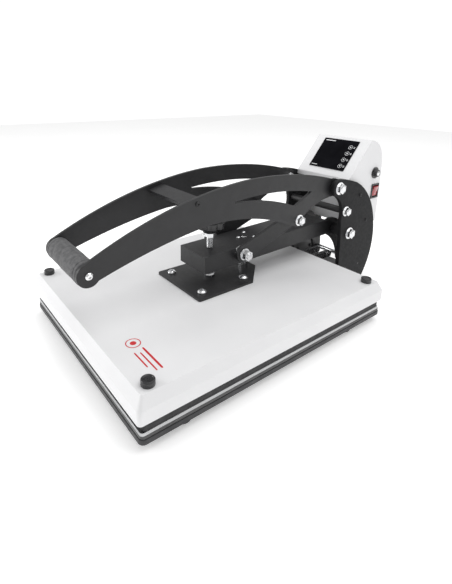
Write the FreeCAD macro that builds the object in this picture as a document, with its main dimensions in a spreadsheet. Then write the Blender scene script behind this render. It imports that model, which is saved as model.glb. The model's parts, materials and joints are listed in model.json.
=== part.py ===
import FreeCAD, Part
import math
import os
import re
import Sketcher

# Clamshell heat press, millimetres, +Z up.  X runs across the press, Y from the
# grip (front, -Y) to the control box (rear, +Y), Z = 0 is the bench top.
# Outlines are drawn about the platen centre; the whole press is then moved by
# platen_y so that the origin is under the middle of its bounding box.

DIMENSIONS = [
    ("platen_y", -93, "platen centre from the origin"),
    ("platen_width", 400, "heated area across"),
    ("platen_length", 508, "heating plate front to back"),
    ("platen_back", 4, "middle of the heating plate from the platen centre"),
    ("bed_back", 6, "middle of the lower platen from the platen centre"),
    ("cover_back", 1.5, "middle of the cover from the platen centre"),
    ("cover_width", 410, "cover across"),
    ("cover_length", 513, "cover front to back"),
    ("cover_band", 20, "height of the cover's upright band"),
    ("cover_slope", 15.4, "height of the cover's sloped band"),
    ("cover_inset", 8.4, "how far the sloped band leans in"),
    ("cover_round", 6, "radius of the cover's lower corners"),
    ("cover_top_round", 3.5, "radius of the cover's upper corners"),
    ("cover_skin", 1.6, "sheet thickness of the cover"),
    ("cover_low", 46, "lower edge of the cover"),
    ("foot_height", 12, "height of a foot"),
    ("foot_radius", 16, "radius of a foot"),
    ("foot_x", 178, "front feet from the middle"),
    ("foot_y", 178, "front feet from the platen centre"),
    ("bed_height", 8, "thickness of the lower platen"),
    ("pad_height", 5, "thickness of the silicone pad"),
    ("plate_low", 25.3, "underside of the heating plate"),
    ("plate_height", 5, "thickness of the heating plate"),
    ("casting_height", 16.5, "thickness of the heater casting"),
    ("frame_inner", 68.3, "inner face of a frame plate"),
    ("frame_thick", 8, "thickness of a frame plate"),
    ("frame_low", 4, "lower edge of a frame plate"),
    ("arm_half", 37, "half width of the heater arm"),
    ("arm_skin", 6, "side plate of the heater arm"),
    ("web_skin", 5, "top and front plate of the heater arm"),
    ("link_inner", 43.7, "inner face of a toggle link"),
    ("link_thick", 6, "thickness of a toggle link"),
    ("link_round", 15.5, "end radius of a toggle link"),
    ("handle_inner", 57.8, "inner face of a handle plate"),
    ("handle_thick", 6, "thickness of a handle plate"),
    ("handle_round", 18, "rear end radius of a handle plate"),
    ("grip_round", 17, "front end radius of a handle plate"),
    ("crank_round", 13.5, "crank corner radius of a handle plate"),
    ("arm_pin_y", 327, "arm pivot"),
    ("arm_pin_z", 124, "arm pivot"),
    ("handle_pin_y", 275, "handle pivot"),
    ("handle_pin_z", 230, "handle pivot"),
    ("crank_pin_y", 173, "pivot between handle and link"),
    ("crank_pin_z", 179, "pivot between handle and link"),
    ("link_pin_y", 46, "pivot between link and arm"),
    ("link_pin_z", 135, "pivot between link and arm"),
    ("tie_y", 305, "tie rod between the frame plates"),
    ("tie_z", 177, "tie rod between the frame plates"),
    ("spring_pin_y", 366, "lift spring's pin on the arm's tail"),
    ("spring_pin_z", 52, "lift spring's pin on the arm's tail"),
    ("spring_post_y", 276, "lift spring's fixed post"),
    ("grip_y", -248, "grip axis"),
    ("grip_z", 180, "grip axis"),
    ("grip_radius", 18, "foam radius"),
    ("core_radius", 11, "radius of the grip's steel core"),
    ("arm_pin_radius", 8, "arm shaft"),
    ("handle_pin_radius", 7, "handle pivot bolt"),
    ("link_pin_radius", 6, "toggle bolts"),
    ("running_gap", 0.06, "radial clearance of a turning fit"),
    ("face_gap", 0.3, "clearance between faces that slide past each other"),
    ("screw_y", 6, "pressure screw axis"),
    ("guide_y", 91, "guide pin axis"),
    ("screw_radius", 6, "pressure screw"),
    ("knob_radius", 26, "pressure knob"),
    ("knob_low", 171, "underside of the pressure knob"),
    ("knob_neck", 8.5, "height of the knob's neck"),
    ("knob_height", 17, "height of the knob above its neck"),
    ("bracket_low", 81.5, "underside of the bracket plate"),
    ("bracket_thick", 4, "thickness of the bracket plate"),
    ("box_half", 68, "half width of the control box"),
    ("box_skin", 2, "sheet thickness of the control box"),
    ("switch_y", 420, "power switch"),
    ("switch_z", 203, "power switch"),
    ("fuse_y", 412, "fuse holder"),
    ("fuse_z", 245, "fuse holder"),
    ("box_low", 130, "underside of the control box"),
    ("glass_width", 89, "display glass across"),
    ("glass_length", 78, "display glass up the slope"),
    ("face_angle", 48.7, "slope of the display face"),
]

doc = FreeCAD.newDocument("HeatPress")
sheet = doc.addObject("Spreadsheet::Sheet", "Dims")
for row, (alias, size, note) in enumerate(DIMENSIONS, start=1):
    sheet.set(f"A{row}", note)
    sheet.set(f"B{row}", str(size))
    sheet.setAlias(f"B{row}", alias)
doc.recompute()

SIDES = (("right", 1), ("left", -1))
V = FreeCAD.Vector
TURNS = {
    "+z": FreeCAD.Rotation(),
    "-z": FreeCAD.Rotation(V(1, 0, 0), 180),
    "+x": FreeCAD.Rotation(V(0, 1, 0), 90),
    "-x": FreeCAD.Rotation(V(0, 1, 0), -90),
    "+y": FreeCAD.Rotation(V(1, 0, 0), -90),
    "-y": FreeCAD.Rotation(V(1, 0, 0), 90),
}
nodes = []


def dim(alias):
    """The number in one cell of the sheet."""
    return float(sheet.get(alias))


def cells(text):
    """Write an expression with $alias for a cell of the sheet."""
    return re.sub(r"\$(\w+)", r"Dims.\1", str(text))


def bind(item, **sizes):
    """Tie properties of an object to expressions of the sheet."""
    for prop, text in sizes.items():
        item.setExpression(prop.replace("__", "."), cells(text))
    return item


def place(item, x=0, y=0, z=0):
    """Tie an object's position to expressions of the sheet."""
    return bind(item, Placement__Base__x=x, Placement__Base__y=y, Placement__Base__z=z)


def node(item, label):
    """Name a finished sub-part and move it from the platen centre to the origin."""
    item.Label = label
    own = dict(item.ExpressionEngine).get(".Placement.Base.y")
    if own is None:
        own = dict(item.ExpressionEngine).get("Placement.Base.y", "0")
    item.setExpression("Placement.Base.y", f"Dims.platen_y + ({own})")
    nodes.append(item)
    return item


# ---- solids from primitives ------------------------------------------------

def box(x, y, z, length, width, height):
    item = doc.addObject("Part::Box", "Block")
    bind(item, Length=length, Width=width, Height=height)
    return place(item, x, y, z)


def rod(turn, radius, length, x=0, y=0, z=0):
    """A round bar that starts at a point and runs the way that turn names."""
    item = doc.addObject("Part::Cylinder", "Bar")
    item.Placement = FreeCAD.Placement(V(), TURNS[turn])
    bind(item, Radius=radius, Height=length)
    return place(item, x, y, z)


def cone(turn, radius, top, length, x=0, y=0, z=0):
    item = doc.addObject("Part::Cone", "Taper")
    item.Placement = FreeCAD.Placement(V(), TURNS[turn])
    bind(item, Radius1=radius, Radius2=top, Height=length)
    return place(item, x, y, z)


def hexagon(turn, radius, length, x=0, y=0, z=0):
    item = doc.addObject("Part::Prism", "Hexagon")
    item.Polygon = 6
    item.Placement = FreeCAD.Placement(V(), TURNS[turn])
    bind(item, Circumradius=radius, Height=length)
    return place(item, x, y, z)


def fuse(*pieces):
    item = doc.addObject("Part::MultiFuse", "Joined")
    item.Shapes = list(pieces)
    item.Refine = True
    return item


def group(*pieces):
    """Identical loose pieces kept as separate solids of one sub-part."""
    item = doc.addObject("Part::Compound", "Set")
    item.Links = list(pieces)
    return item


def cut(base, *tools):
    item = doc.addObject("Part::Cut", "Cut")
    item.Base = base
    item.Tool = tools[0] if len(tools) == 1 else fuse(*tools)
    return item


def tube(turn, radius, bore, length, x=0, y=0, z=0):
    return cut(rod(turn, radius, length, x, y, z), rod(turn, bore, length, x, y, z))


def button_screw(turn, head, shank, length, x, y, z):
    """Domed head with a hex socket on the face at x, y, z, shank going inwards."""
    low = rod("+z", head, head * 0.32)
    dome = cone("+z", head, head * 0.62, head * 0.36, z=head * 0.32)
    key = hexagon("+z", head * 0.42, head, z=head * 0.3)
    stem = rod("-z", shank, length)
    item = cut(fuse(low, dome, stem), key)
    item.Placement = FreeCAD.Placement(V(), TURNS[turn])
    return place(item, x, y, z)


def pivot_bolt(side, head, shank, x_out, length, y, z, nut_at=None):
    """Flanged hex bolt along X, its head outside x_out, with a nut on the far end."""
    way = "+x" if side > 0 else "-x"
    back = "-x" if side > 0 else "+x"
    start = f"{side} * ({x_out})"
    washer = rod(way, head * 1.22, 1.6, start, y, z)
    crown = hexagon(way, head, 7, f"{side} * ({x_out} + 1.6)", y, z)
    tip = cone(way, head * 0.84, head * 0.6, 1.4, f"{side} * ({x_out} + 8.6)", y, z)
    stem = rod(back, shank, length, start, y, z)
    pieces = [washer, crown, tip, stem]
    if nut_at is not None:
        pieces.append(hexagon(back, head, 6, f"{side} * ({nut_at})", y, z))
    return fuse(*pieces)


# ---- solids from sketches --------------------------------------------------

def new_body(name):
    item = doc.addObject("PartDesign::Body", name)
    item.Label = name + "_form"
    return item


def new_sketch(item, plane):
    """An empty sketch on one of the body's own origin planes."""
    drawing = item.newObject("Sketcher::SketchObject", "Outline")
    for feature in item.Origin.OriginFeatures:
        if feature.Role == plane:
            drawing.AttachmentSupport = [(feature, "")]
    drawing.MapMode = "FlatFace"
    return drawing


def outline(drawing, start, *steps):
    """Closed outline: a step is a point, or (point on the arc, end of the arc)."""
    last = V(start[0], start[1], 0)
    for step in steps:
        if isinstance(step[0], tuple):
            middle = V(step[0][0], step[0][1], 0)
            end = V(step[1][0], step[1][1], 0)
            drawing.addGeometry(Part.Arc(last, middle, end), False)
        else:
            end = V(step[0], step[1], 0)
            drawing.addGeometry(Part.LineSegment(last, end), False)
        last = end
    first = V(start[0], start[1], 0)
    if (last - first).Length > 1e-6:
        drawing.addGeometry(Part.LineSegment(last, first), False)


def hole(drawing, along, up, radius):
    """A round hole whose centre and radius follow expressions of the sheet."""
    index = drawing.addGeometry(Part.Circle(V(1, 1, 0), V(0, 0, 1), 1), False)
    rules = (
        (Sketcher.Constraint("DistanceX", -1, 1, index, 3, 1), along),
        (Sketcher.Constraint("DistanceY", -1, 1, index, 3, 1), up),
        (Sketcher.Constraint("Radius", index, 1), radius),
    )
    for rule, text in rules:
        number = drawing.addConstraint(rule)
        drawing.setExpression(f"Constraints[{number}]", cells(text))


def rounded(drawing, width, length, radius):
    """A rectangle about the origin with round corners."""
    x = width / 2
    y = length / 2
    k = radius * (1 - math.sqrt(0.5))
    outline(
        drawing, (-x + radius, -y), (x - radius, -y), ((x - k, -y + k), (x, -y + radius)),
        (x, y - radius), ((x - k, y - k), (x - radius, y)), (-x + radius, y),
        ((-x + k, y - k), (-x, y - radius)), (-x, -y + radius), ((-x + k, -y + k), (-x + radius, -y)),
    )


def pad(item, drawing, length):
    feature = item.newObject("PartDesign::Pad", "Pad")
    feature.Profile = drawing
    bind(feature, Length=length)
    item.Tip = feature
    return feature


def slab(name, width, length, radius, height, z, y=0):
    """A flat rectangular plate with round corners."""
    item = new_body(name)
    drawing = new_sketch(item, "XY_Plane")
    rounded(drawing, width, length, radius)
    pad(item, drawing, height)
    return place(item, y=y, z=z)


def cheek(name, thick, inner, side, draw):
    """A plate cut from sheet that stands upright along Y, drawn by draw(sketch)."""
    item = new_body(name)
    drawing = new_sketch(item, "YZ_Plane")
    draw(drawing)
    pad(item, drawing, thick)
    x = inner if side > 0 else f"-({inner}) - ({thick})"
    return place(item, x=x)


def on_circle(centre, radius, degrees):
    angle = math.radians(degrees)
    return (centre[0] + radius * math.cos(angle), centre[1] + radius * math.sin(angle))


ARM_PIN = (dim("arm_pin_y"), dim("arm_pin_z"))
HANDLE_PIN = (dim("handle_pin_y"), dim("handle_pin_z"))
CRANK_PIN = (dim("crank_pin_y"), dim("crank_pin_z"))
LINK_PIN = (dim("link_pin_y"), dim("link_pin_z"))
GRIP = (dim("grip_y"), dim("grip_z"))
SPRING_PIN = (dim("spring_pin_y"), dim("spring_pin_z"))


# ---- base ------------------------------------------------------------------

def make_base_frame():
    bars = [box(side * 53 - 15, -190, "$frame_low", 30, 605, "$foot_height - $frame_low")
            for _, side in SIDES]
    crosses = [box(-68, y, "$frame_low", 136, width, "$foot_height - $frame_low")
               for y, width in ((-190, 34), (383, 32))]
    outriggers = [box("-$foot_x - 18", f"{side} * $foot_y - 18", "$foot_height - 3",
                      "2 * $foot_x + 36", 36, 3) for _, side in SIDES]
    lugs = []
    for _, side in SIDES:
        lug = box("-68" if side < 0 else "60", 316, "$frame_low", 8, 78, 56)
        holes = [rod("+x", 2.52, 20, -75 if side < 0 else 55, y, 40) for y in (332, 378)]
        lugs.append(cut(lug, *holes))
    node(fuse(*bars, *crosses, *outriggers, *lugs), "base_frame")


def make_feet():
    feet = []
    for x, y in ((1, 1), (1, -1), (-1, 1), (-1, -1)):
        spot = (f"{x} * $foot_x", f"{y} * $foot_y")
        foot = cone("+z", "$foot_radius - 1.5", "$foot_radius", "$foot_height - 3", *spot)
        feet.append(cut(foot, rod("+z", 8, 3, *spot), rod("+z", 3.3, 9, *spot)))
    for _, side in SIDES:
        foot = cone("+z", 11, 12.5, "$frame_low", side * 53, 399)
        feet.append(foot)
    node(group(*feet), "rubber_feet")


def make_lower_platen():
    bed = slab("lower_platen", 402, 514, 8, "$bed_height", "$foot_height", "$bed_back")
    node(bed, "lower_platen")
    soft = slab("silicone_pad", dim("platen_width"), 512, 7, "$pad_height",
                "$foot_height + $bed_height", "$bed_back")
    node(soft, "silicone_pad")


def draw_frame_plate(drawing):
    lobe = 18
    outline(
        drawing, on_circle(HANDLE_PIN, lobe, 240), ((289, 193), (292.5, 158)),
        ((298, 122), (300, 88)), (306, dim("frame_low")), (398, dim("frame_low")),
        ((423, 62), (420, 133)), ((390, 194), (333, 236)),
        ((304, 243.5), on_circle(HANDLE_PIN, lobe, 90)),
        (on_circle(HANDLE_PIN, lobe, 165), on_circle(HANDLE_PIN, lobe, 240)),
    )
    hole(drawing, "$handle_pin_y", "$handle_pin_z", "$handle_pin_radius + 0.02")
    hole(drawing, "$arm_pin_y", "$arm_pin_z", "$arm_pin_radius + 0.02")
    hole(drawing, "$tie_y", "$tie_z", 5.05)
    for y in (332, 378):
        hole(drawing, y, 40, 2.52)
    for y, z in ((353, 205), (388, 143)):
        hole(drawing, y, z, 2.05)


def make_frame():
    for name, side in SIDES:
        plate = cheek(f"frame_plate_{name}", "$frame_thick", "$frame_inner", side, draw_frame_plate)
        node(plate, f"frame_plate_{name}")
    bolts = [button_screw("-x" if side > 0 else "+x", 4.6, 2.5, 16.2, f"{side} * 60", y, 40)
             for _, side in SIDES for y in (332, 378)]
    bolts += [button_screw("+x" if side > 0 else "-x", 3.6, 2, 14,
                           f"{side} * ($frame_inner + $frame_thick)", y, z)
              for _, side in SIDES for y, z in ((353, 205), (388, 143))]
    node(group(*bolts), "frame_screws")
    sleeve = tube("+x", 7, 5.05, "2 * $frame_inner", "-$frame_inner", "$tie_y", "$tie_z")
    node(sleeve, "tie_rod_sleeve")
    ends = []
    for _, side in SIDES:
        ends.append(pivot_bolt(side, 8.6, 5, "$frame_inner + $frame_thick",
                               "$frame_inner + $frame_thick - 0.5", "$tie_y", "$tie_z"))
    node(group(*ends), "tie_rod_bolts")


def make_arm_shaft():
    bolt = pivot_bolt(1, 10.5, "$arm_pin_radius", "$frame_inner + $frame_thick",
                      "2 * ($frame_inner + $frame_thick) + 12", "$arm_pin_y", "$arm_pin_z")
    nut = hexagon("-x", 10.5, 8, "-$frame_inner - $frame_thick", "$arm_pin_y", "$arm_pin_z")
    node(fuse(bolt, nut), "arm_shaft")
    collars = []
    gap = "$frame_inner - $handle_inner - $handle_thick - $face_gap"
    for _, side in SIDES:
        start = "$arm_half + $face_gap" if side > 0 else "-$frame_inner"
        collars.append(tube("+x", 13, "$arm_pin_radius + 0.02",
                            "$frame_inner - $arm_half - $face_gap", start,
                            "$arm_pin_y", "$arm_pin_z"))
        start = "$handle_inner + $handle_thick + $face_gap" if side > 0 else "-$frame_inner"
        collars.append(tube("+x", 15, "$handle_pin_radius + 0.02", gap, start,
                            "$handle_pin_y", "$handle_pin_z"))
    node(group(*collars), "pivot_collars")


def make_handle_pivots():
    bolts = [pivot_bolt(side, 10.6, "$handle_pin_radius", "$frame_inner + $frame_thick",
                        "$frame_inner + $frame_thick - $handle_inner + 9.5",
                        "$handle_pin_y", "$handle_pin_z", "$handle_inner - 0.4")
             for _, side in SIDES]
    node(group(*bolts), "handle_pivot_bolts")


def make_spring_post():
    foot = box(-60, "$spring_post_y - 12", "$foot_height", 120, 24, 5)
    post = box(-34, "$spring_post_y - 3", "$foot_height", 68, 6, "$spring_pin_z - $foot_height + 9")
    slots = [rod("+y", 3, 30, side * 16, "$spring_post_y - 15", "$spring_pin_z") for _, side in SIDES]
    node(cut(fuse(foot, post), *slots), "spring_post")


def make_lift_springs():
    for name, side in SIDES:
        coil = tube("+y", 9, 5.5, "$spring_pin_y - $spring_post_y - 26", side * 16,
                    "$spring_post_y + 10", "$spring_pin_z")
        caps = [rod("+y", 9, 2, side * 16, y, "$spring_pin_z")
                for y in ("$spring_post_y + 10", "$spring_pin_y - 18")]
        hooks = [rod("+y", 2, 16, side * 16, "$spring_post_y - 4", "$spring_pin_z"),
                 rod("+y", 2, 10, side * 16, "$spring_pin_y - 17", "$spring_pin_z")]
        stop = rod("-y", 5, 2, side * 16, "$spring_post_y - 3.2", "$spring_pin_z")
        node(fuse(coil, *caps, *hooks, stop), f"lift_spring_{name}")


# ---- control box -----------------------------------------------------------

FACE_LOW = (317, 241)
GLASS_START = 16
FACE_LONG = 102.5


def up_face(distance, lift=0.0):
    """A point up the slope of the display face, lifted square off it."""
    angle = math.radians(dim("face_angle"))
    return (FACE_LOW[0] + distance * math.cos(angle) - lift * math.sin(angle),
            FACE_LOW[1] + distance * math.sin(angle) + lift * math.cos(angle))


def draw_box_side(drawing, skin):
    """Side view of the control box, drawn in by the sheet's thickness."""
    low = dim("box_low") + skin
    ridge = up_face(FACE_LONG - skin * 0.6, -skin)
    front = up_face(skin * 0.3, -skin)
    outline(
        drawing, (317 + skin, 231 + skin * 1.2), front, ridge,
        ((419 - skin * 0.8, 303.5 - skin * 0.8), (437 - skin, 266)), (440 - skin, 205),
        (440 - skin, low), (362 + skin, low), (362 + skin, 222 + skin * 1.2),
    )


def tilt(item, x, distance, lift):
    """Lay an object on the display face, its own Y running up the slope."""
    item.Placement = FreeCAD.Placement(V(), FreeCAD.Rotation(V(1, 0, 0), dim("face_angle")))
    return place(item, x, *up_face(distance, lift))


def make_control_box():
    shell = new_body("control_housing")
    side_view = new_sketch(shell, "YZ_Plane")
    draw_box_side(side_view, 0.0)
    pad(shell, side_view, "2 * $box_half")
    place(shell, x="-$box_half")
    cavity = new_body("control_cavity")
    inner_view = new_sketch(cavity, "YZ_Plane")
    draw_box_side(inner_view, dim("box_skin"))
    pad(cavity, inner_view, "2 * ($box_half - $box_skin)")
    place(cavity, x="-$box_half + $box_skin")
    mouth = box("-$box_half + 8", 372, "$box_low - 1", "2 * $box_half - 16", 58, 4)
    window = box(0, 0, 0, "$glass_width - 10", "$glass_length - 10", 16)
    tilt(window, "-$glass_width / 2 + 5", GLASS_START + 5, -8)
    switch_hole = box(60, "$switch_y - 11", "$switch_z - 14", 20, 22, 28)
    fuse_hole = rod("+x", 7, 20, 60, "$fuse_y", "$fuse_z")
    inlet_hole = box(-24, 430, 146, 30, 20, 22)
    cable_way = rod("+y", 6, 20, 38, 430, 157)
    ears = [box("$box_half - $box_skin" if side > 0 else "-$box_half", 343, 196, "$box_skin", 21, 30)
            for _, side in SIDES]
    screws = [rod("+x", 2.02, 160, -80, y, z) for y, z in ((353, 205), (388, 143))]
    hollow = cut(shell, cavity, mouth, window, switch_hole, fuse_hole, inlet_hole, cable_way)
    node(cut(fuse(hollow, *ears), *screws), "control_housing")
    lid = box("-$box_half + 3", 365, "$box_low - 1.8", "2 * $box_half - 6", 72, 1.5)
    node(lid, "control_box_lid")


def make_display():
    glass = box("-$glass_width / 2", 0, 0, "$glass_width", "$glass_length", 1.6)
    plug = box("-$glass_width / 2 + 5.2", 5.2, -6, "$glass_width - 10.4", "$glass_length - 10.4", 6)
    node(tilt(fuse(glass, plug), 0, GLASS_START, 0.02), "display_panel")
    board = box(0, 0, 0, 76, 60, 2)
    node(tilt(board, -38, GLASS_START + 9, -8.05), "display_board")


def make_switchgear():
    inner = box("$box_half - 14", "$switch_y - 10.9", "$switch_z - 13.9", 14, 21.8, 27.8)
    trim = box("$box_half", "$switch_y - 13.5", "$switch_z - 16.5", 2.2, 27, 33)
    well = box("$box_half - 12", "$switch_y - 10", "$switch_z - 13.2", 20, 20, 26.4)
    node(cut(fuse(inner, trim), well), "switch_frame")
    rocker = new_body("switch_rocker")
    drawing = new_sketch(rocker, "XZ_Plane")
    outline(drawing, (-8, -11), (1.4, -11), ((2.2, 0), (5.2, 11)), (-8, 11), (-9, 0))
    pad(rocker, drawing, 19.4)
    place(rocker, "$box_half", "$switch_y + 9.7", "$switch_z")
    node(rocker, "switch_rocker")
    flange = rod("+x", 12.5, 2.5, "$box_half", "$fuse_y", "$fuse_z")
    cap = cone("+x", 8.6, 7.6, 6.5, "$box_half + 2.5", "$fuse_y", "$fuse_z")
    neck = rod("-x", 6.9, 20, "$box_half", "$fuse_y", "$fuse_z")
    slot = box("$box_half + 7.8", "$fuse_y - 5.5", "$fuse_z - 0.8", 4, 11, 1.6)
    node(cut(fuse(flange, cap, neck), slot), "fuse_holder")
    plate = box(-31, 440, 146 - 5, 44, 3, 32)
    core = box(-23.8, 424, 146.2, 29.6, 17, 21.6)
    well = box(-20.8, 428, 149, 23.6, 20, 16)
    pins = [box(-9 - 1 + dx, 428, 156 + dz, 2, 11, 4) for dx, dz in ((0, 3), (-7, -3), (7, -3))]
    node(fuse(cut(fuse(plate, core), well), *pins), "power_inlet")


def make_electronics():
    board = box(-55, 376, 142, 61, 42, 1.6)
    legs = [rod("+z", 3, "142 - $box_low + 0.25", x, y, "$box_low - 0.25")
            for x in (-50, 1) for y in (381, 413)]
    chips = [box(-50, 384, 143.6, 18, 14, 12), box(-26, 386, 143.6, 12, 12, 3),
             box(-8, 396, 143.6, 9, 16, 16)]
    node(fuse(board, *legs, *chips), "control_board")
    base = box(14, 382, "$box_low - 0.25", 44, 40, 20)
    fins = [box(14, 382 + 9 * k, "$box_low + 19.75", 44, 2.5, 12) for k in range(5)]
    node(fuse(base, *fins), "solid_state_relay")
    body = rod("+y", 9, 4, 38, 440.05, 157)
    nut = hexagon("+y", 8.4, 8, 38, 444.05, 157)
    neck = rod("-y", 5.95, 8, 38, 440.05, 157)
    bore = rod("+y", 3.5, 40, 38, 430, 157)
    node(cut(fuse(body, nut, neck), bore), "control_cable_gland")


# ---- heater arm and toggle links -------------------------------------------

WEB_SPOTS = [(-14.5, 103), (14.5, 103), (0, 76)]


def draw_arm_side(drawing):
    tail = 13
    outline(
        drawing, (-33, 111), (300, 115.5), ((335, 91), on_circle(SPRING_PIN, tail, 180)),
        (on_circle(SPRING_PIN, tail, 270), on_circle(SPRING_PIN, tail, 0)),
        ((371, 96), (349, 133)), ((332, 147), (300, 148)), (-33, 142),
    )


def make_heater_arm():
    outer = new_body("arm_sides")
    drawing = new_sketch(outer, "YZ_Plane")
    draw_arm_side(drawing)
    pad(outer, drawing, "2 * $arm_half")
    place(outer, x="-$arm_half")
    inside = box("-$arm_half + $arm_skin", "-33 + $web_skin", 60,
                 "2 * ($arm_half - $arm_skin)", "333 - $web_skin", "82 - $web_skin")
    tail_gap = box("-$arm_half + $arm_skin", 300 - 1, 30, "2 * ($arm_half - $arm_skin)", 120, 140)
    pins = [rod("+x", "$arm_pin_radius + $running_gap", 120, -60, "$arm_pin_y", "$arm_pin_z"),
            rod("+x", "$link_pin_radius + 0.02", 120, -60, "$link_pin_y", "$link_pin_z"),
            rod("+x", 5.02, 120, -60, "$spring_pin_y", "$spring_pin_z")]
    shaft_way = rod("+z", "$screw_radius + 1.2", 60, 0, "$screw_y", 120)
    screw_ways = [rod("+z", 2.55, 40, x, y, 120) for x, y in WEB_SPOTS]
    guide_way = rod("+z", "6 + $running_gap", 60, 0, "$guide_y", 100)
    node(cut(outer, inside, tail_gap, *pins, shaft_way, guide_way, *screw_ways), "heater_arm")
    node(rod("+x", 5, "2 * ($arm_half + 4)", "-$arm_half - 4", "$spring_pin_y", "$spring_pin_z"),
         "spring_pin")


def make_pressure_block():
    width = "2 * ($arm_half - $arm_skin) - 0.6"
    start = "-$arm_half + $arm_skin + 0.3"
    bar = box(start, "-33 + $web_skin + 0.3", 112, width, 146, "30 - $web_skin - 0.05")
    nut_way = rod("+z", "$screw_radius + $running_gap", 60, 0, "$screw_y", 100)
    guide_way = rod("+z", "6 + $running_gap", 60, 0, "$guide_y", 100)
    taps = [rod("+z", 2.52, 30, x, y, 124) for x, y in WEB_SPOTS]
    relief = rod("+x", "$link_pin_radius + 0.4", 120, -60, "$link_pin_y", "$link_pin_z")
    node(cut(bar, nut_way, guide_way, relief, *taps), "pressure_block")
    heads = [button_screw("+z", 4, 2.5, 14, x, y, arm_top(y) + 0.1) for x, y in WEB_SPOTS]
    node(group(*heads), "web_screws")


def arm_top(y):
    """Height of the arm's sloping top plate at a distance from the platen centre."""
    return 142 + 6 * (y + 33) / 333


def draw_link(drawing):
    radius = dim("link_round")
    slope = math.degrees(math.atan2(CRANK_PIN[1] - LINK_PIN[1], CRANK_PIN[0] - LINK_PIN[0]))
    outline(
        drawing, on_circle(LINK_PIN, radius, slope - 90), on_circle(CRANK_PIN, radius, slope - 90),
        (on_circle(CRANK_PIN, radius, slope), on_circle(CRANK_PIN, radius, slope + 90)),
        on_circle(LINK_PIN, radius, slope + 90),
        (on_circle(LINK_PIN, radius, slope + 180), on_circle(LINK_PIN, radius, slope - 90)),
    )
    hole(drawing, "$link_pin_y", "$link_pin_z", "$link_pin_radius + $running_gap")
    hole(drawing, "$crank_pin_y", "$crank_pin_z", 8.02)


def make_links():
    bushes = []
    for name, side in SIDES:
        link = cheek(f"toggle_link_{name}", "$link_thick", "$link_inner", side, draw_link)
        node(link, f"toggle_link_{name}")
        start = "$link_inner" if side > 0 else "-$link_inner - $link_thick"
        bushes.append(tube("+x", 8, "$link_pin_radius + $running_gap", "$link_thick", start,
                           "$crank_pin_y", "$crank_pin_z"))
    node(group(*bushes), "link_bushes")
    reach = "$link_inner + $link_thick + $face_gap"
    stem = rod("+x", "$link_pin_radius", f"2 * ({reach}) + 31", f"-({reach}) - 15.5",
               "$link_pin_y", "$link_pin_z")
    ends = []
    for way, side in (("+x", 1), ("-x", -1)):
        ends.append(rod(way, 11, 2.5, f"{side} * ({reach})", "$link_pin_y", "$link_pin_z"))
        ends.append(hexagon(way, 9.6, 10, f"{side} * ({reach} + 2.5)", "$link_pin_y", "$link_pin_z"))
    node(fuse(stem, *ends), "link_pin_bolt")
    spacers = []
    for _, side in SIDES:
        start = "$arm_half + 0.05" if side > 0 else "-$link_inner + $face_gap"
        spacers.append(tube("+x", 12, "$link_pin_radius + $running_gap",
                            "$link_inner - $arm_half - $face_gap - 0.05", start,
                            "$link_pin_y", "$link_pin_z"))
    node(group(*spacers), "link_pin_spacers")


# ---- handle ----------------------------------------------------------------

def draw_handle_plate(drawing):
    lobe = dim("handle_round")
    crank = dim("crank_round")
    end = dim("grip_round")
    outline(
        drawing, on_circle(GRIP, end, 111), ((-118, 249), (32, 274.5)),
        ((140, 271.5), on_circle(HANDLE_PIN, lobe, 104)),
        (on_circle(HANDLE_PIN, lobe, 0), on_circle(HANDLE_PIN, lobe, 278)),
        ((238, 208), on_circle(CRANK_PIN, crank, 25)),
        (on_circle(CRANK_PIN, crank, 300), on_circle(CRANK_PIN, crank, 248)),
        (92, 194.5), ((20, 209), (-50, 211)), ((-131, 197.5), on_circle(GRIP, end, 323)),
        (on_circle(GRIP, end, 233), on_circle(GRIP, end, 111)),
    )
    outline(drawing, (6, 239.5), ((76, 232.5), (160, 209)), (204, 231), ((110, 243.8), (6, 241.7)))
    hole(drawing, "$handle_pin_y", "$handle_pin_z", "$handle_pin_radius + $running_gap")
    hole(drawing, "$crank_pin_y", "$crank_pin_z", "$link_pin_radius + 0.02")
    hole(drawing, "$grip_y", "$grip_z", 4.05)
    hole(drawing, -70, 250.5, 2.05)


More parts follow.
